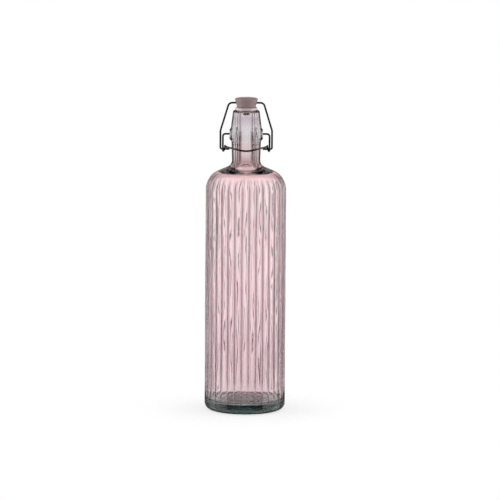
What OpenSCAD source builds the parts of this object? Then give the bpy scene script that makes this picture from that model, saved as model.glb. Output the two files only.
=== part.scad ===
// Swing-top bottle: a tall fluted glass body, a stopper with its gasket, and
// the two bent wires that clamp the stopper down on the mouth.
// Millimetres, Z up. The origin is the centre of the base, and the thumb bar
// of the lever is at the front, towards -Y.

/* [Glass body] */
// Diameter of the body over the ridges between the flutes
body_d = 85; // [80:0.5:95]
// Height at which the straight body turns into the shoulder
body_h = 235; // [180:1:260]
// Thickness of the side wall over a ridge
wall = 3; // [2:0.1:4]
// Thickness of the base, from the foot to the floor inside
base_t = 9.5; // [7:0.5:14]
// Radius of the rounded heel outside
heel_r = 5.5; // [3:0.5:8]
// Radius of the corner between the floor and the wall inside
floor_corner_r = 10; // [6:0.5:14]
// Width of the flat ring that the bottle stands on
foot_w = 6; // [3:0.5:9]
// Height of the shallow dome under the base
punt_h = 2.5; // [1:0.5:4]
// Number of flutes round the body
flute_count = 34; // [28:1:40]
// Depth of a flute below the ridges
flute_depth = 0.6; // [0.4:0.1:0.9]
// Width of the narrow ridge left between two flutes
ridge_w = 0.5; // [0.3:0.1:0.8]
// Height at which the flutes have run out to their full width
flute_low = 18; // [14:1:30]

/* [Shoulder and neck] */
// Radius of the rounded shoulder
shoulder_r = 21; // [16:1:22]
// Height from the start of the shoulder to the waist of the neck
shoulder_rise = 31; // [30:0.2:40]
// Radius of the sweep from the shoulder into the neck
neck_sweep_r = 8; // [6:0.5:9.5]
// Diameter of the neck at its waist
neck_d = 29.8; // [27:0.2:31]
// Diameter of the neck just under the finish
neck_top_d = 31.2; // [30:0.2:33]
// Height from the waist of the neck to the underside of the finish
neck_h = 21.1; // [14:0.5:40]
// Diameter of the bore through neck and mouth
bore_d = 17.5; // [16:0.1:19]

/* [Finish of the mouth] */
// Height of the finish, from its underside to the lip
finish_h = 31.9; // [28:0.5:36]
// Diameter of the finish at its widest, level with the lever's pivots
finish_d = 34; // [33:0.2:36]
// Diameter of the lip
lip_d = 27.8; // [25:0.2:29]
// Radius of the rounded outer edge of the lip
lip_round = 2; // [1:0.1:2.4]
// Radius of the rounded inner edge of the lip
mouth_round = 1; // [0.5:0.1:1.4]
// Radius of the rounded underside of the finish
under_round = 3; // [2:0.1:4]
// Height of the lever's pivots above the underside of the finish
pivot_up = 6.8; // [6:0.1:9]
// Diameter of the round pad about each pivot
pad_d = 11; // [10.6:0.2:12]
// Height of a pad's face over the finish
pad_rise = 1; // [0.6:0.1:1.4]
// Radius of the rounded edge of a pad
pad_round = 1.4; // [0.6:0.1:1.6]
// Diameter of the round recess in each pad
recess_d = 9.2; // [8:0.2:9.4]
// Depth of that recess
recess_depth = 3.5; // [2.5:0.1:3.7]
// Depth of the socket in the floor of the recess
socket_depth = 2; // [1.5:0.1:2.5]

/* [Stopper] */
// Diameter of the stopper's head at the top
head_top_d = 24.8; // [23:0.2:27]
// Diameter of the head where it meets the gasket
head_low_d = 19.2; // [18:0.2:21]
// Height of the head
head_h = 9.6; // [8:0.2:12]
// Radius of the rounded top edge of the head
head_round = 1; // [0.5:0.1:1.5]
// Height of the wire's cross hole above the gasket
cross_up = 4.8; // [4:0.1:6]
// Diameter of the stem inside the gasket
stem_d = 7; // [6:0.1:8]
// Diameter of the plug that holds the gasket on from below
plug_d = 9.5; // [9:0.1:12]
// Diameter of the plug's tip
plug_tip_d = 7.6; // [6:0.1:8.6]
// Length of the plug below the gasket
plug_h = 5.8; // [4:0.2:8]
// Radius of the rounded edge of the plug's tip
plug_round = 0.8; // [0.4:0.1:1.2]

/* [Gasket] */
// Outer diameter of the gasket
gasket_d = 23.4; // [22:0.2:26]
// Thickness of the gasket
gasket_t = 2.9; // [2:0.1:4]
// Radius of the rounded rim of the gasket
gasket_round = 1; // [0.5:0.1:1]
// Gap between the gasket and the lip
seal_gap = 0.3; // [0.2:0.05:0.5]

/* [Wires] */
// Diameter of both wires
wire_d = 2; // [1.8:0.1:2.6]
// Play round a wire, in the sockets, the cross hole and the eyes
wire_play = 0.08; // [0.04:0.01:0.1]
// Distance of the lever's arms from the middle
arm_x = 24.6; // [24:0.1:26]
// Radius of the bend from a pivot into the arm
arm_bend_r = 2.8; // [2.2:0.1:3.5]
// Height of the pivots above the centres of the eyes
arm_drop = 16.4; // [14:0.2:18]
// Gap between the wire's two strands where an eye closes
eye_gap = 0.3; // [0.2:0.05:0.6]
// Reach of the thumb bar in front of the pivots
thumb_reach = 28; // [27:0.2:31]
// Height of the thumb bar's sides above its middle
thumb_arch = 2.4; // [0:0.2:3]
// Gap between the lever's arms and the bail outside them
bail_gap = 0.6; // [0.5:0.1:1.5]
// Distance from the middle to the upper corners of the bail
bail_top_x = 18.2; // [17:0.2:19]
// Drop from the cross hole to the bend where the bail turns straight
bail_bend_drop = 29.8; // [27:0.2:31]
// Radius of the bail's upper corners
bail_corner_r = 4.5; // [3:0.1:5]
// Radius of the bend where the bail turns straight
bail_bend_r = 8; // [5:0.5:12]
// Radius of the bend from the bail into its hooks
hook_bend_r = 1.9; // [1.6:0.1:2]
// Gap between the tips of the hooks and the neck
hook_gap = 2; // [1:0.1:3]

/* [Hidden] */

$fn = 96;

body_r = body_d / 2;
neck_r = neck_d / 2;
bore_r = bore_d / 2;
finish_r = finish_d / 2;
pad_x = finish_r + pad_rise;
lip_outer_r = lip_d / 2;
wire_r = wire_d / 2;

// Heights from the base up
waist_z = body_h + shoulder_rise;
finish_z = waist_z + neck_h;
lip_z = finish_z + finish_h;
pivot_z = finish_z + pivot_up;
gasket_z = lip_z + seal_gap;
head_z = gasket_z + gasket_t;
cross_z = head_z + cross_up;
eye_z = pivot_z - arm_drop;

// Length by which a cutting shape runs past the surface it cuts
overrun = wire_d;

// Bent wires: flat sides, their distance from the middle as a share of wire_r,
// and the number of points to an eighth of a turn, to an eye and to the arc
// of the thumb bar
wire_sides = 16;
flat_share = 0.99;
bend_steps = 6;
eye_steps = 24;
thumb_steps = 18;

// A flute is cut by a cylinder that reaches flute_depth into the body and
// comes out of it flute_angle to either side, at the edge of a ridge.
flute_pitch = 360 / flute_count;
flute_floor_r = body_r - flute_depth;
flute_angle = flute_pitch / 2 - asin(ridge_w / body_d);
flute_r = (pow(flute_floor_r, 2) + pow(body_r, 2)
    - 2 * body_r * flute_floor_r * cos(flute_angle))
    / (2 * (body_r * cos(flute_angle) - flute_floor_r));
// Height at which the flutes have run out into the rounded shoulder
flute_high = body_h + shoulder_r * sin(acos(1 - flute_depth / shoulder_r));

// Slope of the straight stretch between a shoulder arc about [r, z] = a with
// radius ra and a neck sweep about b with radius rb: the angle of its normal.
function slope(a, ra, b, rb) =
    atan2(b[1] - a[1], b[0] - a[0]) - acos((ra + rb) / norm(b - a));

function on_circle(centre, r, angle) = centre + r * [cos(angle), sin(angle)];

// Half outline of a body of revolution from its wall up round the shoulder
// and through the sweep into a neck or bore of radius top_r.
module shoulder_outline(wall_r, arc_r, top_r, sweep_r) {
    arc = [wall_r - arc_r, body_h];
    sweep = [top_r + sweep_r, waist_z];
    angle = slope(arc, arc_r, sweep, sweep_r);
    difference() {
        union() {
            polygon([
                [0, body_h - arc_r], arc - [0, arc_r], on_circle(arc, arc_r, angle),
                on_circle(sweep, -sweep_r, angle), [top_r, waist_z], [0, waist_z]
            ]);
            intersection() {
                translate(arc) circle(arc_r);
                translate([0, body_h - arc_r]) square([body_d, 2 * arc_r]);
            }
        }
        translate(sweep) circle(sweep_r);
    }
}

// Half outline of the finish: a cone from its widest round the pivots up to
// the lip, with rounded edges.
module finish_outline() {
    lean = atan2(finish_r - lip_outer_r, lip_z - pivot_z);
    round_c = [
        lip_outer_r + lip_round * tan(lean) - lip_round / cos(lean),
        lip_z - lip_round
    ];
    under_c = [finish_r - under_round, finish_z + under_round];
    polygon([
        [0, finish_z], [under_c[0], finish_z], under_c, [finish_r, under_c[1]],
        [finish_r, pivot_z], on_circle(round_c, lip_round, lean), round_c,
        [round_c[0], lip_z], [0, lip_z]
    ]);
    translate(round_c) circle(lip_round);
    translate(under_c) circle(under_round);
}

// Half outline of the bottle as if it were solid glass.
module outer_outline() {
    foot_r = body_r - heel_r;
    dome_edge = foot_r - foot_w;
    dome_r = (pow(dome_edge, 2) + pow(punt_h, 2)) / (2 * punt_h);
    difference() {
        union() {
            polygon([
                [0, 0], [foot_r, 0], [foot_r, heel_r], [body_r, heel_r],
                [body_r, body_h], [0, body_h]
            ]);
            translate([foot_r, heel_r]) circle(heel_r);
            shoulder_outline(body_r, shoulder_r, neck_r, neck_sweep_r);
            polygon([
                [0, waist_z - overrun], [neck_r, waist_z - overrun], [neck_r, waist_z],
                [neck_top_d / 2, finish_z], [neck_top_d / 2, finish_z + under_round],
                [0, finish_z + under_round]
            ]);
            finish_outline();
        }
        intersection() {
            translate([0, punt_h - dome_r]) circle(dome_r);
            square([dome_edge, punt_h + overrun]);
        }
    }
}

// Half outline of the space inside.
module cavity_outline() {
    cavity_r = body_r - wall;
    corner = [cavity_r - floor_corner_r, base_t + floor_corner_r];
    polygon([
        [0, base_t], [corner[0], base_t], corner, [cavity_r, corner[1]],
        [cavity_r, body_h], [0, body_h]
    ]);
    translate(corner) circle(floor_corner_r);
    shoulder_outline(cavity_r, shoulder_r - wall, bore_r, neck_sweep_r + wall);
    translate([0, waist_z - overrun]) square([bore_r, lip_z - waist_z + 2 * overrun]);
    difference() {
        translate([0, lip_z - mouth_round])
            square([bore_r + mouth_round, mouth_round + overrun]);
        translate([bore_r + mouth_round, lip_z - mouth_round]) circle(mouth_round);
    }
}

// Cutting shape of one flute on the +X side, with a round lower end: a narrow
// sector of the cylinder, so that neighbours stay clear of each other.
module flute_cutter() {
    half_angle = asin((body_r * sin(flute_angle) + ridge_w / 4) / flute_r);
    translate([flute_floor_r + flute_r, 0, flute_low])
        rotate([0, 0, 180 - half_angle])
            rotate_extrude(angle = 2 * half_angle) {
                square([flute_r, flute_high + overrun - flute_low]);
                intersection() {
                    circle(flute_r);
                    translate([0, -flute_r]) square([flute_r, flute_r + overrun]);
                }
            }
}

// Round pad about one pivot, on the +X side, rooted in the wall of the finish.
module pivot_pad() {
    root_x = (bore_r + finish_r) / 2;
    edge = [pad_d / 2 - pad_round, pad_x - root_x - pad_round];
    translate([root_x, 0, pivot_z]) rotate([0, 90, 0]) rotate_extrude() {
        square([pad_d / 2, edge[1]]);
        square([edge[0], edge[1] + pad_round]);
        translate(edge) circle(pad_round);
    }
}

// Round recess and blind socket for one end of the lever, on the +X side.
module pivot_recess() {
    recess_r = (pow(recess_d / 2, 2) + pow(recess_depth, 2)) / (2 * recess_depth);
    recess_floor = pad_x - recess_depth;
    translate([recess_floor + recess_r, 0, pivot_z]) sphere(recess_r);
    translate([recess_floor - socket_depth, 0, pivot_z])
        rotate([0, 90, 0])
            cylinder(r = wire_r + wire_play, h = socket_depth + recess_depth);
}

module glass_bottle() {
    color([0.84, 0.66, 0.69, 0.55]) difference() {
        union() {
            rotate([0, 0, flute_pitch / 3]) rotate_extrude() difference() {
                outer_outline();
                cavity_outline();
            }
            for (side = [0, 1]) mirror([side, 0, 0]) pivot_pad();
        }
        for (i = [0 : flute_count - 1])
            rotate([0, 0, (i + 0.5) * flute_pitch]) flute_cutter();
        for (side = [0, 1]) mirror([side, 0, 0]) pivot_recess();
    }
}

// Head, stem and plug of the stopper are one moulding.
module stopper_head() {
    top_r = head_top_d / 2;
    low_r = head_low_d / 2;
    lean = atan2(top_r - low_r, head_h);
    edge = [
        top_r - head_round * (1 + sin(lean)) / cos(lean),
        head_z + head_h - head_round
    ];
    tip = [plug_tip_d / 2 - plug_round, gasket_z - plug_h + plug_round];
    color([0.66, 0.5, 0.52]) difference() {
        rotate_extrude() {
            polygon([
                [0, tip[1] - plug_round], tip - [0, plug_round], tip,
                tip + [plug_round, 0], [plug_d / 2, gasket_z], [stem_d / 2, gasket_z],
                [stem_d / 2, head_z], [low_r, head_z], on_circle(edge, head_round, -lean),
                edge, edge + [0, head_round], [0, head_z + head_h]
            ]);
            translate(edge) circle(head_round);
            translate(tip) circle(plug_round);
        }
        translate([-head_top_d / 2, 0, cross_z])
            rotate([0, 90, 0]) cylinder(r = wire_r + wire_play, h = head_top_d);
    }
}

module stopper_gasket() {
    rim = gasket_d / 2 - gasket_round;
    color([0.82, 0.76, 0.76]) rotate_extrude() difference() {
        union() {
            translate([0, gasket_z]) square([rim, gasket_t]);
            translate([0, gasket_z + gasket_round])
                square([gasket_d / 2, gasket_t - 2 * gasket_round]);
            for (z = [gasket_round, gasket_t - gasket_round])
                translate([rim, gasket_z + z]) circle(gasket_round);
        }
        translate([0, gasket_z - overrun])
            square([stem_d / 2, gasket_t + 2 * overrun]);
    }
}

// Route of a wire through corner points, each rounded with its own radius.
function rounded(corners, radii) = [
    corners[0],
    for (i = [1 : len(corners) - 2])
        let (
            back = corners[i - 1] - corners[i],
            ahead = corners[i + 1] - corners[i],
            a = back / norm(back),
            b = ahead / norm(ahead),
            half = acos(a * b) / 2,
            middle = (a + b) / norm(a + b),
            centre = corners[i] + middle * radii[i - 1] / sin(half),
            out = -middle,
            along = (b - a) / norm(b - a),
            turn = 90 - half,
            count = ceil(bend_steps * turn / 45)
        )
        for (k = [-count : count])
            centre
                + radii[i - 1] * (cos(turn * k / count) * out + sin(turn * k / count) * along),
    corners[len(corners) - 1]
];

// Mirror image of a route across the plane X = 0, run backwards.
function mirrored(route) = [
    for (i = [len(route) - 1 : -1 : 0]) [-route[i][0], route[i][1], route[i][2]]
];

// Frames square to a route, one for each point, carried along without twist.
function next_side(side, ahead) =
    let (flat = side - (side * ahead) * ahead) flat / norm(flat);
function headings(route) = [
    for (i = [0 : len(route) - 1])
        let (run = route[min(len(route) - 1, i + 1)] - route[max(0, i - 1)])
            run / norm(run)
];

// Wire along a route, with its edges just inside the round of wire_r so that
// the turned pins on the same line cover it.
module wire(route, first_side) {
    last = len(route) - 1;
    ahead = headings(route);
    side = [
        for (i = 0, s = next_side(first_side, ahead[0]); i <= last;
            i = i + 1, s = i <= last ? next_side(s, ahead[i]) : s) s
    ];
    points = [
        for (i = [0 : last], k = [0 : wire_sides - 1])
            let (turn = k * 360 / wire_sides)
                route[i] + wire_r * flat_share
                    * (cos(turn) * side[i] + sin(turn) * cross(ahead[i], side[i]))
    ];
    walls = [
        for (i = [0 : last - 1], k = [0 : wire_sides - 1])
            let (a = i * wire_sides + k, b = i * wire_sides + (k + 1) % wire_sides)
                each [[a, a + wire_sides, b], [b, a + wire_sides, b + wire_sides]]
    ];
    ends = [
        [for (k = [0 : wire_sides - 1]) k],
        [for (k = [wire_sides - 1 : -1 : 0]) last * wire_sides + k]
    ];
    polyhedron(points, concat(walls, ends), convexity = 6);
}

// Turned pin along X from one place to another.
module pin(from, to) {
    translate([min(from[0], to[0]), from[1], from[2]]) rotate([0, 90, 0])
        cylinder(r = wire_r, h = abs(to[0] - from[0]));
}

// The eyes lie behind the line from the cross hole to the pivots, so the
// closed bail leans back a little and the lever locks past the centre.
module bail_wire() {
    eye_r = wire_d + wire_play;
    drop = cross_z - eye_z;
    length = norm([eye_r, drop]);
    bail_x = arm_x + wire_d + bail_gap;
    hook_tip_x = neck_top_d / 2 + hook_gap;
    half = rounded(
        [
            [0, 0, 0], [bail_top_x, 0, 0], [bail_x, 0, -bail_bend_drop],
            [bail_x, 0, -length], [hook_tip_x, 0, -length]
        ],
        [bail_corner_r, bail_bend_r, hook_bend_r]
    );
    route = concat(mirrored(half), [for (i = [1 : len(half) - 1]) half[i]]);
    cross_end = bail_top_x - bail_corner_r;
    color([0.3, 0.3, 0.31]) translate([0, 0, cross_z]) rotate([atan2(eye_r, drop), 0, 0]) {
        wire(route, [0, 1, 0]);
        pin([-cross_end, 0, 0], [cross_end, 0, 0]);
        for (side = [0, 1]) mirror([side, 0, 0])
            pin([hook_tip_x, 0, -length], [bail_x - hook_bend_r, 0, -length]);
    }
}

// Points along the eye on the +X side: down its front, under and behind it
// and out over its top, drawn inwards by shift meanwhile.
function eye_route(r, shift) = [
    for (i = [0 : eye_steps])
        let (t = i / eye_steps)
            [
                arm_x - shift * (1 - cos(180 * t)) / 2,
                r - r * cos(270 * t),
                eye_z - r * sin(270 * t)
            ]
];

module lever_wire() {
    eye_r = wire_d + wire_play;
    eye_shift = wire_d + eye_gap;
    bar_x = arm_x - eye_shift;
    bar_z = eye_z + eye_r;
    arc_y = bar_x - thumb_reach;
    tip_x = pad_x - recess_depth - socket_depth + wire_play;
    arm = rounded(
        [[tip_x, 0, pivot_z], [arm_x, 0, pivot_z], [arm_x, 0, eye_z]],
        [arm_bend_r]
    );
    rise = [
        for (k = [1 : bend_steps - 1])
            let (t = k / bend_steps)
                [
                    bar_x, eye_r + (arc_y - eye_r) * t,
                    bar_z + thumb_arch * (1 - cos(180 * t)) / 2
                ]
    ];
    // The bar dips in the middle of its arc and stays nearly level beside it
    thumb = [
        for (k = [0 : thumb_steps])
            let (turn = 90 * k / thumb_steps)
                [
                    bar_x * cos(turn), arc_y - bar_x * sin(turn),
                    bar_z + thumb_arch * (1 - pow(sin(turn), 6))
                ]
    ];
    half = concat(
        [for (i = [0 : len(arm) - 2]) arm[i]], eye_route(eye_r, eye_shift), rise, thumb
    );
    color([0.3, 0.3, 0.31]) {
        wire(concat(half, [for (i = [1 : len(half) - 1]) mirrored(half)[i]]), [0, 1, 0]);
        for (side = [0, 1]) mirror([side, 0, 0])
            pin([tip_x, 0, pivot_z], [arm_x - arm_bend_r, 0, pivot_z]);
    }
}

glass_bottle();
stopper_head();
stopper_gasket();
bail_wire();
lever_wire();
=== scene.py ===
# %% [markdown]
# # A swing-top bottle of tinted glass
#
# The object is a tall, fluted glass bottle. A plastic stopper with a soft gasket
# closes its mouth, and two bent steel wires, the bail and the lever, clamp the
# stopper down. The glass itself is a pale green recycled glass. A pink lacquer
# covers the outside and stops short of the base, so the thick base shows green.
#
# The script loads the measured model first and dresses it afterwards. It works in
# metres, while the sizes below are written in millimetres and scaled once.

# %% Load the frame
import math

import bpy
import numpy as np
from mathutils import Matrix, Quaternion


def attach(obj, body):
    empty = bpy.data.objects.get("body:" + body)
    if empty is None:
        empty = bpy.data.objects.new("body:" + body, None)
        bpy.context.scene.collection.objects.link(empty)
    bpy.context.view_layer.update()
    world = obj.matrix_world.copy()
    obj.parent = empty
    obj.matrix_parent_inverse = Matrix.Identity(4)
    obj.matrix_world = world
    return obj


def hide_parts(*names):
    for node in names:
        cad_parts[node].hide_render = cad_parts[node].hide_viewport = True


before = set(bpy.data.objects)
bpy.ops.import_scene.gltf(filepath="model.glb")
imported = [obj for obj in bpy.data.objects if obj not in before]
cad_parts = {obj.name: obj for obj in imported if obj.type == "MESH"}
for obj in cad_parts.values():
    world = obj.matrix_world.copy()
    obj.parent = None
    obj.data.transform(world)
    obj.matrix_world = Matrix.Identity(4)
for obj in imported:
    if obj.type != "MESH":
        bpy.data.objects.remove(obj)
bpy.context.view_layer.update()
MM = 0.001

# %% [markdown]
# ## Sizes of the glass
#
# Only a few sizes shape the glass: the straight body, the rounded shoulder, the
# sweep into the neck, and the conical finish with the round pads that hold the
# lever. They repeat the sizes of the measured model, because the dressed bottle
# has to fill the same space. A few are the scene's own, inside that space, because
# light shows them more than a ruler does: deeper flutes, a rounder heel, a floor
# that rises in the middle, and the place where the bore opens into the shoulder.

# %% Sizes in millimetres
BODY_R, BODY_H = 42.5, 235.0
SHOULDER_R, SWEEP_R = 21.0, 8.0
WAIST_Z, NECK_R, NECK_TOP_R = 266.0, 14.9, 15.6
FINISH_Z, FINISH_R, UNDER_ROUND = 287.1, 17.0, 1.5
PIVOT_Z, PAD_X, PAD_FLAT_R, PAD_R = 293.9, 18.0, 3.6, 6.6
RECESS_R, RECESS_DEPTH, SOCKET_DEPTH = 4.6, 3.5, 2.0
LIP_Z, LIP_R, LIP_ROUND, MOUTH_ROUND = 319.0, 13.9, 2.0, 1.0
BORE_R, WALL, BASE_T = 8.75, 3.0, 9.5
FUNNEL_Z, FUNNEL_R = 265.0, 10.0
FLOOR_DOME = 7.0
HEEL_R, FLOOR_CORNER_R, FOOT_R, DOME_EDGE, PUNT_H = 7.5, 5.0, 35.0, 31.0, 2.5
FLUTES, FLUTE_DEPTH, FLUTE_LOW = 34, 1.0, 18.0
WIRE_R, WIRE_PLAY = 1.0, 0.08
EYE_Z, CROSS_Z = 277.5, 327.0
print("height of the glass:", LIP_Z, "mm, flute pitch:", round(2 * math.pi * BODY_R / FLUTES, 2), "mm")

# %% [markdown]
# ## Helpers for surfaces
#
# Every new piece is a grid of points that is worked out as one array. A grid needs
# three things to become a mesh: the points, four-cornered faces between
# neighbouring rows, and a fan of triangles where a row shrinks to a point.

# %% Grid to mesh
def grid_quads(rows, columns):
    """Faces between neighbouring rows of a grid whose columns close into a ring.

    Face (i, j) joins points (i, j), (i, j+1), (i+1, j+1), (i+1, j), where j+1 wraps
    round to 0. It faces along (direction of j) x (direction of i).
    """
    i, j = np.meshgrid(np.arange(rows - 1), np.arange(columns), indexing="ij")
    k = (j + 1) % columns
    corners = [i * columns + j, i * columns + k, (i + 1) * columns + k, (i + 1) * columns + j]
    return np.stack([c.ravel() for c in corners], axis=1)


def fan(centre, ring, turned=False):
    """Triangles from one point to a closed ring of point numbers."""
    after = np.roll(ring, -1)
    pair = (after, ring) if turned else (ring, after)
    return np.stack([np.full(len(ring), centre), *pair], axis=1)


def make_piece(name, points, faces, body, material, node=None):
    """A mesh object from an array of points in millimetres and arrays of faces."""
    mesh = bpy.data.meshes.new(name)
    face_list = [face for group in faces for face in group.tolist()]
    mesh.from_pydata((np.asarray(points) * MM).tolist(), [], face_list)
    mesh.polygons.foreach_set("use_smooth", np.ones(len(mesh.polygons), dtype=bool))
    mesh.update()
    piece = bpy.data.objects.new(name, mesh)
    bpy.context.scene.collection.objects.link(piece)
    piece.data.materials.append(material)
    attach(piece, body)
    if node:
        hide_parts(node)
    triangles = sum(len(face) - 2 for face in face_list)
    print(f"{name}: {len(points)} points, {triangles} triangles")
    return piece


def add_values(piece, name, values):
    """Keeps one number for each point of the mesh, for its material to read."""
    layer = piece.data.attributes.new(name, "FLOAT", "POINT")
    layer.data.foreach_set("value", np.asarray(values, dtype=np.float32))

# %% [markdown]
# ## Gentle unevenness
#
# Blown glass is never even: the ridges wander, the flutes vary in depth, and the
# inner wall ripples, because it was shaped by air and not by the mould. A handful
# of waves with seeded random phases gives that, and they close up round the bottle
# because each has a whole number of waves round it.

# %% Waves over the surface
def smoothstep(x, low, high):
    """0 up to low, 1 from high on, and 3t^2 - 2t^3 between them."""
    t = np.clip((x - low) / (high - low), 0, 1)
    return t * t * (3 - 2 * t)


def waves(angle, height, seed, count, most_round, shortest, longest):
    """Sum of cosines in the angle and the height, scaled to about -1 to 1.

    Wave k is cos(m angle + 2 pi height / length + phase), with m whole and at most
    most_round, and a length between shortest and longest.
    """
    rng = np.random.default_rng(seed)
    m = rng.integers(-most_round, most_round + 1, count)
    length = np.exp(rng.uniform(np.log(shortest), np.log(longest), count))
    phase = rng.uniform(0, 2 * np.pi, count)
    total = np.zeros(np.broadcast(angle, height).shape)
    for k in range(count):
        total = total + np.cos(m[k] * angle + 2 * np.pi * height / length[k] + phase[k])
    return total / np.sqrt(count) / 1.4


sample = waves(np.linspace(0, 6.28, 50), np.linspace(0, 200, 50), 1, 8, 9, 20, 80)
print("waves run from", round(sample.min(), 2), "to", round(sample.max(), 2))

# %% [markdown]
# ## The outline of the glass
#
# Seen from the side, the glass is one closed outline: up the outside from the dome
# under the base to the lip, and down the inside to the floor. The shoulder and the
# sweep are two arcs with a straight line that touches both, as a bottle maker
# draws them. Inside, the floor rises gently towards its middle. The rows of the grid
# follow the outline, closer together where it bends.

# %% Outline, outside and inside
def arc(centre, radius, start, end, steps):
    """Points (r, z) on a circle about centre, from one angle to another, in degrees."""
    t = np.radians(np.linspace(start, end, steps))
    return np.stack([centre[0] + radius * np.cos(t), centre[1] + radius * np.sin(t)], axis=1)


def line(start, end, steps):
    """Points (r, z) from start to end, both left out."""
    t = np.linspace(0, 1, steps + 2)[1:-1, None]
    return np.array(start) * (1 - t) + np.array(end) * t


def shoulder(wall_r, arc_r, top_r, sweep_r, waist_z, steps):
    """Shoulder arc, touching line and sweep, from the wall up to where it is upright.

    The arc ends on wall_r at the top of the body, and the sweep on top_r at waist_z.
    The line's normal has the angle of the line between both centres less
    acos((arc_r + sweep_r) / their distance).
    """
    a = np.array([wall_r - arc_r, BODY_H])
    b = np.array([top_r + sweep_r, waist_z])
    reach = np.hypot(*(b - a))
    angle = math.degrees(math.atan2(b[1] - a[1], b[0] - a[0]) - math.acos((arc_r + sweep_r) / reach))
    return np.concatenate([
        arc(a, arc_r, 0, angle, steps),
        line(arc(a, arc_r, angle, angle, 1)[0], arc(b, sweep_r, angle + 180, angle + 180, 1)[0], 2),
        arc(b, sweep_r, angle + 180, 180, steps * 2 // 3),
    ])


LEAN = math.atan2(FINISH_R - LIP_R, LIP_Z - PIVOT_Z)


def finish_radius(z):
    """Radius of the finish or neck at a height: a cone down to the pivots, a straight
    band, the rounded underside, and the neck where that is wider."""
    cone = FINISH_R - np.maximum(z - PIVOT_Z, 0) * math.tan(LEAN)
    under_z = FINISH_Z + UNDER_ROUND
    drop = np.clip((under_z - z) / UNDER_ROUND, 0, 1)
    rounded = FINISH_R - UNDER_ROUND * (1 - np.sqrt(1 - drop * drop))
    neck = NECK_R + (NECK_TOP_R - NECK_R) * np.clip((z - WAIST_Z) / (FINISH_Z - WAIST_Z), 0, 1)
    return np.where(z >= under_z, cone, np.where(z > FINISH_Z, np.maximum(rounded, neck), neck))


PAD_LINES = np.array([0, 0.5, 0.95, 1.04, 1.12, 1.8, 2.7, 3.5, 4.1, 4.45, 4.6, 4.75, 5.2, 5.8, 6.4, 7.6])
window = np.concatenate([PIVOT_Z - PAD_LINES[::-1], PIVOT_Z + PAD_LINES[1:]])
dome_r = (DOME_EDGE ** 2 + PUNT_H ** 2) / (2 * PUNT_H)
dome_end = math.degrees(math.asin(DOME_EDGE / dome_r))
round_c = (LIP_R + LIP_ROUND * math.tan(LEAN) - LIP_ROUND / math.cos(LEAN), LIP_Z - LIP_ROUND)
finish_z = np.concatenate([
    [270, 275, 280, 284, 285.8], window, np.linspace(302.6, round_c[1] - 0.6, 6)
])
outside = np.concatenate([
    arc((0, PUNT_H - dome_r), dome_r, 89, 90 - dome_end, 6),
    line((DOME_EDGE, 0), (FOOT_R, 0), 1),
    arc((FOOT_R, HEEL_R), HEEL_R, -90, 0, 8),
    line((BODY_R, HEEL_R), (BODY_R, BODY_H), 36),
    shoulder(BODY_R, SHOULDER_R, NECK_R, SWEEP_R, WAIST_Z, 14),
    np.stack([finish_radius(finish_z), finish_z], axis=1),
    arc(round_c, LIP_ROUND, math.degrees(LEAN), 90, 6),
    arc((BORE_R + MOUTH_ROUND, LIP_Z - MOUTH_ROUND), MOUTH_ROUND, 90, 180, 4),
])
cavity_r = BODY_R - WALL
floor_t = np.linspace(0, 1, 8)[1:-1]
# The floor rises by half a cosine wave: dome (1 - cos(pi t)) / 2, t from corner to middle.
floor_rise = np.stack([0 * floor_t, FLOOR_DOME * (1 - np.cos(math.pi * floor_t)) / 2], axis=1)
inside = np.concatenate([
    line((BORE_R, LIP_Z - MOUTH_ROUND), (BORE_R, FUNNEL_Z), 9),
    shoulder(cavity_r, SHOULDER_R - WALL, BORE_R, FUNNEL_R, FUNNEL_Z, 14)[::-1],
    line((cavity_r, BODY_H), (cavity_r, BASE_T + FLOOR_CORNER_R), 26),
    arc((cavity_r - FLOOR_CORNER_R, BASE_T + FLOOR_CORNER_R), FLOOR_CORNER_R, 0, -90, 8),
    line((cavity_r - FLOOR_CORNER_R, BASE_T), (0, BASE_T), 6) + floor_rise,
])
print("rows outside:", len(outside), "rows inside:", len(inside))

# %% [markdown]
# ## Where the columns stand
#
# The columns of the grid are closest at the ridges between the flutes, where the
# glass bends most. A few more stand at fixed distances from the pivots, so that
# the pads and their recesses get crisp rims.

# %% Columns round the bottle
PITCH = 2 * math.pi / FLUTES
across = np.array([-0.5, -0.48, -0.45, -0.4, -0.31, -0.16, 0, 0.16, 0.31, 0.4, 0.45, 0.48])
flute_columns = ((np.arange(FLUTES)[:, None] + 0.5 + across) * PITCH).ravel()
pad_columns = np.arcsin(np.concatenate([PAD_LINES, -PAD_LINES[1:]]) / FINISH_R)
pad_columns = np.concatenate([pad_columns, pad_columns + math.pi]) % (2 * math.pi)
apart = np.abs((flute_columns[:, None] - pad_columns + math.pi) % (2 * math.pi) - math.pi).min(axis=1)
columns = np.sort(np.concatenate([flute_columns[apart > 0.006] % (2 * math.pi), pad_columns]))
print("columns:", len(columns))

# %% [markdown]
# ## Flutes
#
# A flute is a shallow hollow, about 1 mm deep, and the ridge between two flutes is
# nearly sharp. Light that crosses a ridge is thrown aside, which draws the dark
# lines down the bottle. The flutes start with round ends above the base and run
# out over the shoulder.

# %% The fluted wall
ROUND_END = 4.3
RUN_OUT, SHOULDER_PLAIN = 236.0, 254.0


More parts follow.
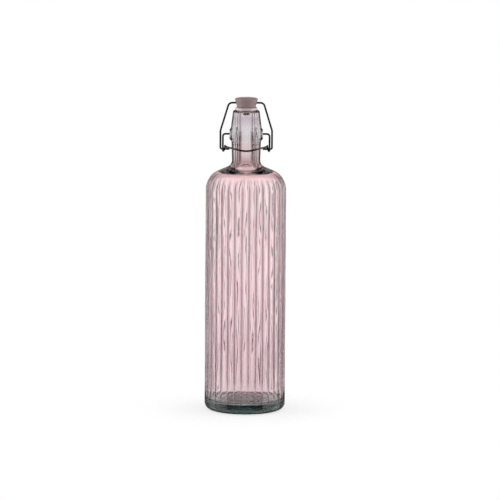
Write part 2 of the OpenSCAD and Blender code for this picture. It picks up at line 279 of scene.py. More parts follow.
def flute_hollow(angle, z):
    """Depth of the hollow at each point, in millimetres.

    With u the distance from the flute's middle in pitches, from -1/2 to 1/2, the
    hollow is depth (1 - |2u|^6): broad and nearly flat, with a narrow ridge
    beside it. Waves shift it sideways and make it deeper or shallower. Below, it
    ends as a quarter circle does, and above it fades from RUN_OUT to SHOULDER_PLAIN.
    """
    wander = 0.035 * waves(angle, z, 11, 12, 17, 90, 450)
    u = (angle / PITCH + wander) % 1 - 0.5
    shape = 1 - np.abs(2 * u) ** 6
    depth = FLUTE_DEPTH * (1 + 0.25 * waves(angle, z, 12, 10, 30, 60, 300))
    low = np.sqrt(1 - np.clip((FLUTE_LOW - z) / ROUND_END, 0, 1) ** 2)
    return np.maximum(shape, 0) * depth * low * (1 - smoothstep(z, RUN_OUT, SHOULDER_PLAIN))


test = flute_hollow(np.linspace(0, 6.28, 400), 120.0)
print("hollows are up to", round(float(test.max()), 2), "mm deep")

# %% [markdown]
# ## Pads, recesses and sockets
#
# The lever's two ends sit in small sockets in the finish. Each socket lies in a
# round recess, and the recess in a slightly raised round pad. To get circles out
# of a square grid, the grid round each pivot is warped: a square ring of points at
# distance m is drawn in to a circle of radius m.

# %% The pads about the pivots
def pad_height(rr, cone_x):
    """Distance from the bottle's middle plane at distance rr from a pivot.

    In turn: the floor of the socket, the recess as a part of a sphere, and the pad,
    which falls to the cone round it as 1 - (3t^2 - 2t^3).
    """
    sphere_r = (RECESS_R ** 2 + RECESS_DEPTH ** 2) / (2 * RECESS_DEPTH)
    sphere_x = PAD_X - RECESS_DEPTH + sphere_r
    dish = sphere_x - np.sqrt(np.maximum(sphere_r ** 2 - rr ** 2, 0))
    face = cone_x + (PAD_X - cone_x) * (1 - smoothstep(rr, PAD_FLAT_R, PAD_R))
    x = np.where(rr < RECESS_R, np.minimum(dish, face), face)
    return np.where(rr < WIRE_R + WIRE_PLAY, PAD_X - RECESS_DEPTH - SOCKET_DEPTH, x)


def shape_pads(x, y, z):
    """The finish with both pads, from the points of the plain finish."""
    side = np.sign(x)
    angle_y = FINISH_R * y / np.maximum(np.hypot(x, y), 1e-9)
    b = z - PIVOT_Z
    m = np.maximum(np.abs(angle_y), np.abs(b))
    near = (m < 7.55) & (np.abs(x) > 8)
    keep = 1 - smoothstep(m, 5.6, 7.5)
    a = angle_y * keep + y * (1 - keep)
    scale = 1 + (m / np.maximum(np.hypot(a, b), 1e-9) - 1) * keep
    new_y, new_z = a * scale, PIVOT_Z + b * scale
    cone_x = np.sqrt(np.maximum(finish_radius(new_z) ** 2 - new_y ** 2, 0))
    new_x = side * pad_height(np.hypot(new_y, new_z - PIVOT_Z), cone_x)
    return np.where(near, new_x, x), np.where(near, new_y, y), np.where(near, new_z, z)

# %% [markdown]
# ## Seeds
#
# Recycled glass holds seeds: small bubbles that were drawn out upwards as the
# glass was blown. A seed is a hollow inside the wall, so its faces look inwards,
# into the air of the bubble. They sit in the middle of the wall.

# %% Bubbles in the wall
def seeds(count, seed):
    """Points and faces of small upright egg shapes in the wall.

    Each is a sphere of 5 rings and 8 columns, with the half-widths (w, w, h), put
    at a random height and angle at the middle of the wall.
    """
    rng = np.random.default_rng(seed)
    angle, z = rng.uniform(0, 2 * np.pi, count), rng.uniform(22, 240, count)
    wall_middle = 40.7
    size = rng.uniform(0.1, 0.28, count)
    stretch = rng.uniform(1.2, 3.2, count)
    ring = np.radians(np.array([-60, -30, 0, 30, 60]))[:, None]
    turn = np.radians(np.arange(0, 360, 45))[None, :]
    unit = np.stack([
        np.cos(ring) * np.cos(turn), np.cos(ring) * np.sin(turn), np.sin(ring) + 0 * turn
    ], axis=-1).reshape(-1, 3)
    unit = np.concatenate([unit, [[0, 0, -1], [0, 0, 1]]])
    scale = np.stack([size, size, size * stretch], axis=1)
    middle = np.stack([wall_middle * np.cos(angle), wall_middle * np.sin(angle), z], axis=1)
    points = (unit[None] * scale[:, None] + middle[:, None]).reshape(-1, 3)
    quads = grid_quads(5, 8)[:, ::-1]
    ends = np.concatenate([fan(40, np.arange(8)), fan(41, np.arange(32, 40), turned=True)])
    step = (np.arange(count) * 42)[:, None, None]
    return points, (quads[None] + step).reshape(-1, 4), (ends[None] + step).reshape(-1, 3)

# %% [markdown]
# ## The whole glass
#
# Outside and inside are one grid that runs from the middle of the dome under the
# base, up and over the lip, and down to the middle of the floor. One closed
# surface matters for glass: the renderer bends each ray where it goes in and
# again where it comes out, and colours it by the way that it went in between.

# %% Build the points of the glass
def glass_points():
    """All points of the glass, row by row, with two shares for each: of the lacquer,
    1 outside and 0 inside, and of the painted shade that darkens the thick base, 1 on
    the inner floor and 0 elsewhere. The last value is the number of rows.

    Outside, radius = outline - flute - a little unevenness. Inside, radius = outline
    + waves, which fade out at the floor and the shoulder, + finer waves in the neck.
    """
    outline = np.concatenate([outside, inside])
    angle = columns[None, :]
    r, z = outline[:, 0, None], outline[:, 1, None]
    is_out = (np.arange(len(outline)) < len(outside))[:, None]
    wall_part = (z > HEEL_R) & (z < 256) & is_out
    uneven = 0.06 * (1 + waves(angle, z, 21, 14, 12, 40, 200)) / 2
    r_out = r - np.where(wall_part, flute_hollow(angle, z) + uneven, 0)
    ripple = 0.09 * waves(angle, z, 31, 16, 9, 80, 400) + 0.04 * waves(angle, z, 33, 24, 60, 120, 700)
    fade = smoothstep(z, 14, 30) * (1 - smoothstep(z, 236, 258))
    neck_ripple = 0.03 * waves(angle, z, 32, 8, 3, 20, 60) * smoothstep(z, 262, 275) * (z < 300)
    r_in = r + ripple * fade + neck_ripple
    radius = np.where(is_out, r_out, r_in)
    x, y = radius * np.cos(angle), radius * np.sin(angle)
    z = z + np.zeros_like(x)
    fx, fy, fz = shape_pads(x, y, z)
    padded = is_out & (z > FINISH_Z - 1) & (z < PIVOT_Z + 8)
    x, y, z = np.where(padded, fx, x), np.where(padded, fy, y), np.where(padded, fz, z)
    coat = np.where(is_out & (outline[:, 1, None] < LIP_Z - MOUTH_ROUND), 1.0, 0.0) + np.zeros_like(x)
    # The floor's share marks the inner floor, where painted shade darkens the base.
    shaded_floor = (1 - smoothstep(outline[:, 1, None], 9.6, 13)) * ~is_out + np.zeros_like(x)
    xyz = np.stack([x, y, z], axis=-1).reshape(-1, 3)
    return xyz, coat.ravel(), shaded_floor.ravel(), len(outline)


glass_xyz, coat, floor_shade_share, glass_rows = glass_points()
print("outer radius from", round(float(np.hypot(glass_xyz[:, 0], glass_xyz[:, 1]).max()), 3), "mm down")

# %% [markdown]
# ## Glass with a lacquer
#
# The glass is a clear shader with a weak grey-green absorption in its volume: thin
# walls stay nearly clear, and the thick base turns dark, partly by itself and partly
# by a painted shade on the inner floor, a darker and redder tint. The colour of
# the outer surface changes with the height. It is a bare green round the base, and
# from 10 mm up it is the pink lacquer, which is deeper low on the body, at the foot of
# the neck and in a band under the lip, and thin on the rest of the finish. One ramp
# over the height holds all of it. The alternative, a volume for each colour, would need separate layers of
# glass, which the real bottle doesn't have.
#
# The nodes are made with three small helpers, so that each material reads as a list
# of what feeds what.

# %% Small node helpers
def new_material(name):
    """An empty material with its output, its tree and its links."""
    material = bpy.data.materials.new(name)
    material.use_nodes = True
    tree = material.node_tree
    tree.nodes.clear()
    out = tree.nodes.new("ShaderNodeOutputMaterial")
    return material, tree, out


def node(tree, kind, inputs=None, **settings):
    """A node with its settings, and its inputs set to values or linked to sockets."""
    made = tree.nodes.new(kind)
    for key, value in settings.items():
        setattr(made, key, value)
    for key, value in (inputs or {}).items():
        if isinstance(value, bpy.types.NodeSocket):
            tree.links.new(value, made.inputs[key])
        else:
            made.inputs[key].default_value = value
    return made


def ramp(tree, value, stops):
    """A colour ramp over a value, with stops (position, grey or colour)."""
    made = node(tree, "ShaderNodeValToRGB", {"Fac": value})
    elements = made.color_ramp.elements
    while len(elements) < len(stops):
        elements.new(0.5)
    for element, (position, colour) in zip(elements, stops):
        element.position = position
        element.color = (colour,) * 3 + (1,) if isinstance(colour, (int, float)) else (*colour, 1)
    return made.outputs["Color"]

# %% [markdown]
# The surface is not perfect either. Faint upright streaks run down the body, the foot
# is lumpy, and the ring that the bottle stands on is dull. These are bumps and a
# roughness, because they are too small to be worth points in the mesh.

# %% The glass itself
# Each stop is a height in millimetres and the colour of the outer surface there.
LACQUER_TOP = 320.0
LACQUER = [
    (0, (0.2, 0.42, 0.37)),
    (6, (0.22, 0.42, 0.37)),
    (10, (0.75, 0.6, 0.61)),
    (28, (0.82, 0.58, 0.62)),
    (60, (0.84, 0.59, 0.64)),
    (130, (1.0, 0.72, 0.77)),
    (220, (1.0, 0.76, 0.79)),
    (244, (1.0, 0.74, 0.77)),
    (252, (1.0, 0.62, 0.66)),
    (258, (1.0, 0.56, 0.58)),
    (263, (0.5, 0.24, 0.25)),
    (272, (0.92, 0.67, 0.69)),
    (284, (0.95, 0.72, 0.74)),
    (292, (1.0, 0.87, 0.92)),
    (302, (0.95, 0.82, 0.87)),
    (308, (0.7, 0.55, 0.62)),
    (312, (0.7, 0.55, 0.62)),
    (316, (0.95, 0.8, 0.82)),
]
# FLOOR_SHADE_TINT is painted shade: the inner floor of the glass is tinted darker and redder, so that the
# thick base looks darker.
FLOOR_SHADE_TINT = (0.8, 0.5, 0.5)


def tinted_glass():
    """Clear glass with a coloured outside and a grey-green absorption within.

    Colour = white, mixed towards the ramp's colour at that height by the coat's share
    times a faint cloudiness, and towards FLOOR_SHADE_TINT by the floor's share, which is
    a painted shade that darkens the thick base. Bump = upright streaks, from noise
    stretched along z, and then lumps near the foot.
    """
    material, tree, out = new_material("lacquered green glass")
    place = node(tree, "ShaderNodeTexCoord").outputs["Object"]
    height = node(tree, "ShaderNodeSeparateXYZ", {"Vector": place}).outputs["Z"]
    share = node(tree, "ShaderNodeMapRange", {
        "Value": height, "From Min": 0.0, "From Max": LACQUER_TOP * MM, "To Min": 0.0, "To Max": 1.0
    }).outputs["Result"]
    lacquer = ramp(tree, share, [(z / LACQUER_TOP, colour) for z, colour in LACQUER])
    clouds = node(tree, "ShaderNodeTexNoise", {"Vector": place, "Scale": 28.0, "Detail": 2.0})
    cloudy = node(tree, "ShaderNodeMapRange", {
        "Value": clouds.outputs["Fac"], "From Min": 0.3, "From Max": 0.7, "To Min": 0.85, "To Max": 1.0
    }).outputs["Result"]
    coated = node(tree, "ShaderNodeAttribute", attribute_name="coat").outputs["Fac"]
    amount = node(tree, "ShaderNodeMath", {0: coated, 1: cloudy}, operation="MULTIPLY").outputs[0]
    tint = node(tree, "ShaderNodeMix", {
        "Factor": amount, "A": (1, 1, 1, 1), "B": lacquer
    }, data_type="RGBA").outputs["Result"]
    # Painted shade: the inner floor turns towards FLOOR_SHADE_TINT, which darkens the base.
    shaded_floor = node(tree, "ShaderNodeAttribute", attribute_name="floor").outputs["Fac"]
    tint = node(tree, "ShaderNodeMix", {
        "Factor": shaded_floor, "A": tint, "B": (*FLOOR_SHADE_TINT, 1)
    }, data_type="RGBA").outputs["Result"]
    upright = node(tree, "ShaderNodeMapping", {"Vector": place, "Scale": (420.0, 420.0, 14.0)})
    streaks = node(tree, "ShaderNodeTexNoise", {"Vector": upright.outputs[0], "Scale": 1.0, "Detail": 2.0})
    rough_part = ramp(tree, share, [(0.0, 0.1), (0.72, 0.14), (0.8, 0.04), (0.86, 0.0)])
    bump = node(tree, "ShaderNodeBump", {
        "Height": streaks.outputs["Fac"], "Strength": rough_part, "Distance": 0.0004
    })
    foot = ramp(tree, share, [(0.0, 0.5), (0.03, 0.35), (0.045, 0.0)])
    lumps = node(tree, "ShaderNodeTexNoise", {"Vector": place, "Scale": 300.0, "Detail": 3.0})
    bump = node(tree, "ShaderNodeBump", {
        "Height": lumps.outputs["Fac"], "Strength": foot, "Distance": 0.001, "Normal": bump.outputs["Normal"]
    })
    stipple = ramp(tree, share, [(0.0, 0.25), (0.006, 0.25), (0.01, 0.0), (1.0, 0.0)])
    shader = node(tree, "ShaderNodeBsdfPrincipled", {
        "Base Color": tint, "Roughness": stipple, "IOR": 1.51, "Transmission Weight": 1.0,
        "Normal": bump.outputs["Normal"],
    })
    volume = node(tree, "ShaderNodeVolumeAbsorption", {"Color": (0.3, 0.42, 0.41, 1), "Density": 38.0})
    tree.links.new(shader.outputs["BSDF"], out.inputs["Surface"])
    tree.links.new(volume.outputs["Volume"], out.inputs["Volume"])
    return material


glass_material = tinted_glass()
print("material:", glass_material.name)

# %% [markdown]
# The mesh is put together from the grid, the two fans at its poles and the seeds,
# and it stands for the plain glass of the model.

# %% Put the glass together
def build_glass():
    """The bottle's glass as one piece, with its seeds."""
    count = len(columns)
    bottom, top = len(glass_xyz), len(glass_xyz) + 1
    poles = np.array([[0, 0, PUNT_H], [0, 0, BASE_T + FLOOR_DOME]])
    seed_xyz, seed_quads, seed_ends = seeds(80, 5)
    points = np.concatenate([glass_xyz, poles, seed_xyz])
    faces = [
        grid_quads(glass_rows, count),
        fan(bottom, np.arange(count), turned=True),
        fan(top, np.arange((glass_rows - 1) * count, glass_rows * count)),
        seed_quads + top + 1,
        seed_ends + top + 1,
    ]
    piece = make_piece(
        "fluted_glass", points, faces, "bottle", glass_material, "glass_bottle"
    )
    add_values(piece, "coat", np.concatenate([coat, np.zeros(2 + len(seed_xyz))]))
    # The floor values place the painted shade on the inner floor.
    add_values(piece, "floor", np.concatenate([floor_shade_share, [0, 1], np.zeros(len(seed_xyz))]))
    return piece


glass = build_glass()

# %% [markdown]
# ## Bent wires
#
# Both wires are drawn steel, 2 mm thick, bent cold. Each is a circle carried
# along a route, and the bends are arcs of the radius that the bending tool leaves.
# The circle must not twist on the way, so a side direction is handed on from
# point to point and only made square to the route again.

# %% Routes with rounded corners
def rounded_route(corners, radii, step):
    """Points of a route whose corners are arcs: for each corner the arc that
    touches both neighbouring straights, one point for each step degrees or less."""
    corners = np.asarray(corners, dtype=float)
    points = [corners[0]]
    for i, radius in enumerate(radii, start=1):
        a = corners[i - 1] - corners[i]
        b = corners[i + 1] - corners[i]
        a, b = a / np.linalg.norm(a), b / np.linalg.norm(b)
        half = math.acos(np.dot(a, b)) / 2
        middle = (a + b) / np.linalg.norm(a + b)
        centre = corners[i] + middle * radius / math.sin(half)
        along = (b - a) / np.linalg.norm(b - a)
        turn = math.pi / 2 - half
        t = np.linspace(-turn, turn, 2 + int(math.degrees(2 * turn) / step))[:, None]
        points.extend(centre + radius * (-np.cos(t) * middle + np.sin(t) * along))
    points.append(corners[-1])
    return np.array(points)


def even_steps(route, longest):
    """The route with extra points on its straights, none further apart than longest."""
    parts = []
    for a, b in zip(route[:-1], route[1:]):
        n = max(1, int(np.ceil(np.linalg.norm(b - a) / longest)))
        parts.append(a + (b - a) * (np.arange(n) / n)[:, None])
    return np.concatenate([*parts, route[-1:]])

# %% [markdown]
# A curve object with a round bevel would give a wire too. The surface is worked out
# here instead, because each point then also knows how far along the wire it lies,
# which the steel's fine lines follow.

# %% Wire along a route
def wire_surface(route, radius, sides=24):
    """Circle of a radius carried along a route without twist, with domed ends.

    The side direction s at point i is the one at i-1, less its part along the
    route, made unit length again. The ends are closed by two smaller rings.
    """
    ahead = np.gradient(route, axis=0)
    ahead /= np.linalg.norm(ahead, axis=1, keepdims=True)
    side = np.zeros_like(route)
    s = np.array([0.0, 1.0, 0.0])
    for i, t in enumerate(ahead):
        s = s - np.dot(s, t) * t
        s /= np.linalg.norm(s)
        side[i] = s
    other = np.cross(ahead, side)
    bevel = np.array([[0.55, 0.0], [0.86, 0.1], [1.0, 0.35]])
    centre = np.concatenate([
        route[0] + bevel[:, 1:] * ahead[0], route[1:-1], route[-1] - bevel[::-1, 1:] * ahead[-1]
    ])
    size = np.concatenate([bevel[:, 0], np.ones(len(route) - 2), bevel[::-1, 0]]) * radius
    pick = np.concatenate([[0, 0, 0], np.arange(1, len(route) - 1), [len(route) - 1] * 3])
    turn = np.linspace(0, 2 * np.pi, sides, endpoint=False)[None, :, None]
    rings = centre[:, None] + size[:, None, None] * (
        np.cos(turn) * side[pick][:, None] + np.sin(turn) * other[pick][:, None]
    )
    rows = len(centre)
    first, last = rows * sides, rows * sides + 1
    points = np.concatenate([rings.reshape(-1, 3), [centre[0], centre[-1]]])
    faces = [
        grid_quads(rows, sides),
        fan(first, np.arange(sides), turned=True),
        fan(last, np.arange((rows - 1) * sides, rows * sides)),
    ]
    length = np.concatenate([[0], np.cumsum(np.linalg.norm(np.diff(centre, axis=0), axis=1))])
    return points, faces, np.concatenate([np.repeat(length, sides), [0, length[-1]]])

# %% [markdown]
# ## Drawn steel
#
# The wire is nearly black, with a faint shine and fine lines along it from the
# drawing die. A metal shader with a very dark grey and a low roughness gives that.
# Noise that is long in the direction of the wire makes it a drawn surface, and a
# slower noise lightens it a little in spots, as handling does.

# %% Steel for the wires
def drawn_steel():
    """Dark bright steel. The roughness and a small bump follow noise that is
    stretched along the wire by the mesh's own distance attribute."""
    material, tree, out = new_material("drawn steel wire")
    place = node(tree, "ShaderNodeTexCoord").outputs["Object"]
    along = node(tree, "ShaderNodeAttribute", attribute_name="along").outputs["Fac"]
    slow = node(tree, "ShaderNodeMath", {0: along, 1: 30.0}, operation="MULTIPLY").outputs[0]
    fine = node(tree, "ShaderNodeVectorMath", {0: place, 1: (900.0, 900.0, 900.0)}, operation="MULTIPLY")
    lines = node(tree, "ShaderNodeTexNoise", {
        "Vector": fine.outputs[0], "W": slow, "Scale": 1.0, "Detail": 3.0
    }, noise_dimensions="4D")
    rough = node(tree, "ShaderNodeMapRange", {
        "Value": lines.outputs["Fac"], "From Min": 0.3, "From Max": 0.7, "To Min": 0.16, "To Max": 0.3
    }).outputs["Result"]
    wear = node(tree, "ShaderNodeTexNoise", {"Vector": place, "Scale": 160.0, "Detail": 3.0})
    colour = ramp(tree, wear.outputs["Fac"], [
        (0.3, (0.05, 0.05, 0.049)), (0.62, (0.07, 0.07, 0.069)), (0.8, (0.12, 0.118, 0.115))
    ])
    bump = node(tree, "ShaderNodeBump", {
        "Height": lines.outputs["Fac"], "Strength": 0.1, "Distance": 0.0001
    })
    shader = node(tree, "ShaderNodeBsdfPrincipled", {
        "Base Color": colour, "Metallic": 1.0, "Roughness": rough, "Normal": bump.outputs["Normal"]
    })
    tree.links.new(shader.outputs["BSDF"], out.inputs["Surface"])
    return material


steel = drawn_steel()
print("material:", steel.name)

# %% [markdown]
# ## The bail
#
# The bail crosses the stopper's head, comes down outside the neck on both sides
# and ends in two hooks that turn inwards through the eyes of the lever. The eyes
# lie 2 mm behind the line from the stopper to the pivots. That small offset is
# what locks the closure, and it makes the bail lean back a little.

# %% Bend the bail
EYE_R = 2 * WIRE_R + WIRE_PLAY
ARM_X, BAIL_X = 24.6, 27.2
BAIL_TOP_X, BAIL_BEND_DROP, HOOK_X = 18.2, 29.8, 17.6
BAIL_BENDS = [4.5, 8, 1.9]
BEND_STEP, LONGEST_STEP = 6, 2.0


def bail_route():
    """Route of the bail: half of it in its own flat plane, mirrored, then leaned."""
    drop = CROSS_Z - EYE_Z
    length = math.hypot(EYE_R, drop)
    half = rounded_route(
        [
            (0, 0, 0), (BAIL_TOP_X, 0, 0), (BAIL_X, 0, -BAIL_BEND_DROP), (BAIL_X, 0, -length),
            (HOOK_X, 0, -length),
        ],
        BAIL_BENDS, BEND_STEP
    )
    whole = even_steps(np.concatenate([half[:0:-1] * [-1, 1, 1], half]), LONGEST_STEP)
    lean = math.atan2(EYE_R, drop)
    y = whole[:, 1] * math.cos(lean) - whole[:, 2] * math.sin(lean)
    z = whole[:, 1] * math.sin(lean) + whole[:, 2] * math.cos(lean)
    return np.stack([whole[:, 0], y, z + CROSS_Z], axis=1)


bail_xyz, bail_faces, bail_along = wire_surface(bail_route(), WIRE_R)
bail = make_piece("bail", bail_xyz, bail_faces, "bail", steel, "bail_wire")
add_values(bail, "along", bail_along * MM)

# %% [markdown]
# ## The lever
#
# The lever starts in the two sockets of the glass, turns down beside the neck,
# winds an eye of three quarters of a turn round each hook of the bail, and runs
# forwards as the thumb bar. Its eye is a short screw line, because the wire has
# to pass beside itself.

# %% Bend the lever
EYE_GAP, ARM_BEND_R = 0.3, 2.8
THUMB_REACH, THUMB_ARCH = 28.0, 2.4


def lever_route():
    """Route of the lever: socket, arm, eye, side and front of the thumb bar.

    The eye is (x falling by its shift, R - R cos t, -R sin t) for t from 0 to 270
    degrees. From its top the wire rises by the arch. The thumb bar is a half circle
    seen from above, and at the angle a along it the height is arch (1 - sin^6 a), so
    the bar dips in the middle of its front.
    """
    shift, tip_x = 2 * WIRE_R + EYE_GAP, PAD_X - RECESS_DEPTH - SOCKET_DEPTH + WIRE_PLAY
    bar_x = ARM_X - shift
    arc_y, bar_z = bar_x - THUMB_REACH, EYE_Z + EYE_R
    arm = rounded_route(
        [(tip_x, 0, PIVOT_Z), (ARM_X, 0, PIVOT_Z), (ARM_X, 0, EYE_Z)], [ARM_BEND_R], BEND_STEP
    )
    t = np.linspace(0, 1, 37)
    eye = np.stack([
        ARM_X - shift * (1 - np.cos(math.pi * t)) / 2,
        EYE_R - EYE_R * np.cos(1.5 * math.pi * t),
        EYE_Z - EYE_R * np.sin(1.5 * math.pi * t),
    ], axis=1)
    t = np.linspace(0, 1, 9)[1:-1]
    rise = np.stack([
        np.full(7, bar_x), EYE_R + (arc_y - EYE_R) * t,
        bar_z + THUMB_ARCH * (1 - np.cos(math.pi * t)) / 2,
    ], axis=1)
    turn = np.radians(np.linspace(0, 90, 31))
    front = np.stack([
        bar_x * np.cos(turn), arc_y - bar_x * np.sin(turn),
        bar_z + THUMB_ARCH * (1 - np.sin(turn) ** 6),
    ], axis=1)
    half = np.concatenate([arm[:-1], eye, rise, front])
    return even_steps(np.concatenate([half, (half * [-1, 1, 1])[-2::-1]]), LONGEST_STEP)


lever_xyz, lever_faces, lever_along = wire_surface(lever_route(), WIRE_R)
lever = make_piece("lever", lever_xyz, lever_faces, "lever", steel, "lever_wire")
add_values(lever, "along", lever_along * MM)

# %% [markdown]
# ## The stopper and its gasket
#
# The stopper is one moulding of a dusky pink, translucent plastic: a head that
# widens upwards, a thin stem and a plug. Light gets through its thin edges and
# fades in the middle, where the way through is longest, so it is a rough
# see-through shader with absorption, mixed with a milky one. Below the gasket the
# milky part has a painted shade, browner and darker, because the plug sits deep in
# the mouth; the plastic itself is one colour. The gasket is the same kind of
# mixture, paler and with more of the milky part. The model's own solids
# have the right shape, with the cross hole for the bail, and stay.

# %% Plastic and silicone
# The plug's colour is painted shade: the same plastic, darker and browner where the plug sits deep in the
# mouth.
PLUG_SHADE_COLOUR = (0.42, 0.26, 0.25)
PLUG_SHADE_FROM, PLUG_SHADE_FULL = 319.5, 318.5


def frosted(name, base, clear, absorb, density, roughness, grain):
    """A moulding that is part milky and part clear.

    The milky part has the colour base, and below the height PLUG_SHADE_FROM it turns to
    PLUG_SHADE_COLOUR, a darker painted shade for the plug deep in the mouth. The clear
    part lets light through and absorbs it with depth. A fine noise bumps it, and a
    slow noise varies its roughness as handling does.
    """
    material, tree, out = new_material(name)
    place = node(tree, "ShaderNodeTexCoord").outputs["Object"]
    fine = node(tree, "ShaderNodeTexNoise", {"Vector": place, "Scale": grain, "Detail": 3.0})
    slow = node(tree, "ShaderNodeTexNoise", {"Vector": place, "Scale": 180.0, "Detail": 2.0})
    rough = node(tree, "ShaderNodeMapRange", {
        "Value": slow.outputs["Fac"], "From Min": 0.3, "From Max": 0.7,
        "To Min": roughness * 0.85, "To Max": roughness * 1.15,
    }).outputs["Result"]
    colour = node(tree, "ShaderNodeMix", {
        "Factor": slow.outputs["Fac"], "A": (*base, 1), "B": (*[min(1, c * 1.08) for c in base], 1)
    }, data_type="RGBA").outputs["Result"]
    # Painted shade: below the plug's height the milky colour turns to the darker plug colour.
    place_z = node(tree, "ShaderNodeSeparateXYZ", {"Vector": place}).outputs["Z"]
    low = node(tree, "ShaderNodeMapRange", {
        "Value": place_z, "From Min": PLUG_SHADE_FROM * MM, "From Max": PLUG_SHADE_FULL * MM
    }).outputs["Result"]
    colour = node(tree, "ShaderNodeMix", {
        "Factor": low, "A": colour, "B": (*PLUG_SHADE_COLOUR, 1)
    }, data_type="RGBA").outputs["Result"]
    bump = node(tree, "ShaderNodeBump", {
        "Height": fine.outputs["Fac"], "Strength": 0.03, "Distance": 0.0001
    })
    milky = node(tree, "ShaderNodeBsdfPrincipled", {
        "Base Color": colour, "Roughness": rough, "IOR": 1.46, "Normal": bump.outputs["Normal"],
    })
    glassy = node(tree, "ShaderNodeBsdfPrincipled", {
        "Base Color": (0.97, 0.94, 0.94, 1), "Roughness": rough, "IOR": 1.08,
        "Transmission Weight": 1.0, "Normal": bump.outputs["Normal"],
    })
    shader = node(tree, "ShaderNodeMixShader", {0: clear, 1: milky.outputs[0], 2: glassy.outputs[0]})
    volume = node(tree, "ShaderNodeVolumeAbsorption", {"Color": (*absorb, 1), "Density": density})
    tree.links.new(shader.outputs[0], out.inputs["Surface"])
    tree.links.new(volume.outputs["Volume"], out.inputs["Volume"])
    return material


plastic = frosted("dusky pink plastic", (0.5, 0.36, 0.365), 0.5, (0.5, 0.4, 0.41), 260.0, 0.36, 900.0)
silicone = frosted("clear silicone", (0.85, 0.72, 0.72), 0.3, (0.6, 0.45, 0.46), 60.0, 0.35, 1400.0)
for name, material in (("stopper_head", plastic), ("stopper_gasket", silicone)):
    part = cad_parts[name]
    part.data.materials.clear()
    part.data.materials.append(material)
print("stopper dressed:", [m.name for m in (plastic, silicone)])

# %% [markdown]
# ## Floor
#
# The bottle stands on a white sweep of paper. The floor is plain white paint that
# takes the bottle's soft shadow, and further out it fades into pure white light,
# so that no horizon shows.

# %% White floor
PAPER_R, PAPER_DROP = 2.5, 0.0002


def paper_floor():
    """A disc with matt white near the object, fading to plain white with distance."""
    material, tree, out = new_material("white paper floor")
    place = node(tree, "ShaderNodeTexCoord").outputs["Object"]
    far = node(tree, "ShaderNodeVectorMath", {0: place}, operation="LENGTH").outputs["Value"]
    share = node(tree, "ShaderNodeMapRange", {
        "Value": far, "From Min": 0.045, "From Max": 0.13, "To Min": 0.7, "To Max": 1.0
    }, interpolation_type="SMOOTHSTEP").outputs["Result"]
    matt = node(tree, "ShaderNodeBsdfDiffuse", {"Color": (0.985, 0.985, 0.99, 1)})
    open_air = node(tree, "ShaderNodeBsdfTransparent", {"Color": (1, 1, 1, 1)})
    mixed = node(tree, "ShaderNodeMixShader", {0: share, 1: matt.outputs[0], 2: open_air.outputs[0]})
    tree.links.new(mixed.outputs[0], out.inputs["Surface"])
    turn = np.radians(np.arange(0, 360, 6))
    ring = np.stack([PAPER_R * np.cos(turn), PAPER_R * np.sin(turn), 0 * turn], axis=1)
    mesh = bpy.data.meshes.new("floor")
    mesh.from_pydata([(0, 0, 0), *ring.tolist()], [], fan(0, np.arange(1, len(ring) + 1)).tolist())
    paper = bpy.data.objects.new("floor", mesh)
    bpy.context.scene.collection.objects.link(paper)
    mesh.materials.append(material)
    paper.location.z = -PAPER_DROP
    return paper


paper = paper_floor()
print("floor:", paper.name, "radius", PAPER_R, "m")

# %% [markdown]
# ## Light
#
# A white room lights the bottle from all sides. Clear glass in a plain white room
# has hardly any outline, so product photographers set dark cards beside the
# bottle. Here the cards are soft dark bands in the room itself, four alike round the
# object, so that it reads well from the front, the back and the sides.
#
# Three kinds of ray ask the room for its light, and each gets its own answer. Rays
# that were bent by glass see the cards. Rays that a surface mirrors see a dark room
# with bright boxes to its left and right, which draws the shine on glass and wire.
# Rays from matt surfaces see a room that is brighter at the left and right than at
# the front and back. The camera itself sees plain white.

# %% The room
CARD_COLOUR = (1.0, 0.62, 0.65)
BACKLIGHT = 1.14
STEEP_DARK = 0.5
BOX_LIGHT = 1.7


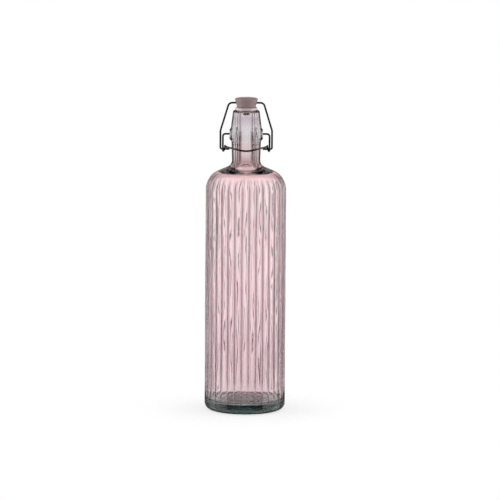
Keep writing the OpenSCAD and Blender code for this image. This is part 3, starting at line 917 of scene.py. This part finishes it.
def white_room(dark, gloss):
    """World light in four kinds, told apart by the kind of ray that asks.

    With az the direction of the ray seen from above and z its rise from -1 to 1:
    Camera: white. Bent rays: a ramp over (cos 4az + 1) / 2, light at 0 and at 1 and
    dark from 0.2 to 0.46. From z = -0.18 to -0.25 it gives way to a smooth rise from STEEP_DARK
    at |cos 4az| = 0 to full at 0.8. Both are multiplied by a ring that is dark for z
    from -0.72 to -0.6, and the darker they are, the more they take CARD_COLOUR.
    Mirrored rays: gloss, rising to BOX_LIGHT where cos 2az is below -0.6. Matt
    surfaces: 1 - 0.95 cos 2az.
    """
    world = bpy.data.worlds.new("white room")
    world.use_nodes = True
    tree = world.node_tree
    tree.nodes.clear()
    out = tree.nodes.new("ShaderNodeOutputWorld")
    way = node(tree, "ShaderNodeTexCoord").outputs["Generated"]
    parts = node(tree, "ShaderNodeSeparateXYZ", {"Vector": way})
    angle = node(tree, "ShaderNodeMath", {0: parts.outputs["X"], 1: parts.outputs["Y"]}, operation="ARCTAN2")
    four = node(tree, "ShaderNodeMath", {0: angle.outputs[0], 1: 4.0}, operation="MULTIPLY")
    wave = node(tree, "ShaderNodeMath", {0: four.outputs[0]}, operation="COSINE")
    rise = parts.outputs["Z"]
    turned = node(tree, "ShaderNodeMapRange", {
        "Value": wave.outputs[0], "From Min": -1.0, "From Max": 1.0
    }).outputs["Result"]
    level = ramp(tree, turned, [
        (0.0, 1.0), (0.1, 0.6), (0.2, dark), (0.46, dark), (0.72, 0.4), (0.84, 0.9), (0.91, BACKLIGHT)
    ])
    across = node(tree, "ShaderNodeMath", {0: wave.outputs[0]}, operation="ABSOLUTE").outputs[0]
    steep = node(tree, "ShaderNodeMapRange", {
        "Value": across, "From Min": 0.0, "From Max": 0.8, "To Min": STEEP_DARK, "To Max": BACKLIGHT
    }, interpolation_type="SMOOTHSTEP").outputs["Result"]
    down = node(tree, "ShaderNodeMapRange", {
        "Value": rise, "From Min": -0.18, "From Max": -0.25
    }).outputs["Result"]
    cards = node(tree, "ShaderNodeMix", {"Factor": down, "A": level, "B": steep}).outputs["Result"]
    height = node(tree, "ShaderNodeMapRange", {
        "Value": rise, "From Min": -1.0, "From Max": 1.0
    }).outputs["Result"]
    ring = ramp(tree, height, [(0.08, 1.0), (0.14, dark), (0.2, dark), (0.26, 1.0)])
    bent = node(tree, "ShaderNodeMath", {0: cards, 1: ring}, operation="MULTIPLY").outputs[0]
    two = node(tree, "ShaderNodeMath", {0: angle.outputs[0], 1: 2.0}, operation="MULTIPLY")
    side = node(tree, "ShaderNodeMath", {0: two.outputs[0]}, operation="COSINE").outputs[0]
    mirrored = node(tree, "ShaderNodeMapRange", {
        "Value": side, "From Min": -0.1, "From Max": -0.6, "To Min": gloss, "To Max": BOX_LIGHT
    }, interpolation_type="SMOOTHSTEP").outputs["Result"]
    path = node(tree, "ShaderNodeLightPath")
    soft = node(tree, "ShaderNodeMath", {0: side, 1: -0.95, 2: 1.0}, operation="MULTIPLY_ADD").outputs[0]
    strength = node(tree, "ShaderNodeMix", {
        "Factor": path.outputs["Is Diffuse Ray"], "A": 1.0, "B": soft
    }).outputs["Result"]
    strength = node(tree, "ShaderNodeMix", {
        "Factor": path.outputs["Is Glossy Ray"], "A": strength, "B": mirrored
    }).outputs["Result"]
    strength = node(tree, "ShaderNodeMix", {
        "Factor": path.outputs["Is Transmission Ray"], "A": strength, "B": bent
    }).outputs["Result"]
    shade = node(tree, "ShaderNodeMath", {0: 1.0, 1: bent}, operation="SUBTRACT").outputs[0]
    card = node(tree, "ShaderNodeMath", {
        0: shade, 1: path.outputs["Is Transmission Ray"]
    }, operation="MULTIPLY").outputs[0]
    colour = node(tree, "ShaderNodeMix", {
        "Factor": card, "A": (1, 1, 1, 1), "B": (*CARD_COLOUR, 1)
    }, data_type="RGBA").outputs["Result"]
    light = node(tree, "ShaderNodeBackground", {"Color": colour, "Strength": strength})
    tree.links.new(light.outputs[0], out.inputs["Surface"])
    bpy.context.scene.world = world
    return world


room = white_room(dark=0.12, gloss=0.06)
print("room:", room.name)

# %% [markdown]
# ## Camera
#
# The bottle is seen from far away through a long lens, looking down by about
# 9 degrees: the lip and the base show as narrow ellipses, and the sides stay
# parallel. The camera is turned by a third of a degree, which stands the bottle
# very slightly off upright in the picture.

# %% Camera
def long_lens(distance, elevation, width, aim, roll):
    """A camera in front of the object whose picture is width metres wide at aim."""
    data = bpy.data.cameras.new("camera")
    camera = bpy.data.objects.new("camera", data)
    bpy.context.scene.collection.objects.link(camera)
    e = math.radians(elevation)
    data.sensor_width = 36
    data.lens = 36 * distance / width
    data.clip_start, data.clip_end = 0.1, 50
    camera.location = (aim[0], aim[1] - distance * math.cos(e), aim[2] + distance * math.sin(e))
    camera.rotation_mode = "QUATERNION"
    camera.rotation_quaternion = (
        Quaternion((1, 0, 0), math.radians(90 - elevation)) @ Quaternion((0, 0, 1), math.radians(roll))
    )
    bpy.context.scene.camera = camera
    return camera


camera = long_lens(7.5, 9.0, 0.528, (0.0047, 0, 0.1701), 0.35)
print("lens:", round(camera.data.lens, 1), "mm")

# %% [markdown]
# ## Render settings
#
# Glass needs many bounces: a ray may cross both walls and the stopper, and be
# thrown about inside the thick base. With too few, such places turn black.

# %% Bounces and colour
scene = bpy.context.scene
scene.view_settings.view_transform = "Standard"
scene.cycles.max_bounces = 32
scene.cycles.transmission_bounces = 32
scene.cycles.glossy_bounces = 16
scene.cycles.transparent_max_bounces = 16
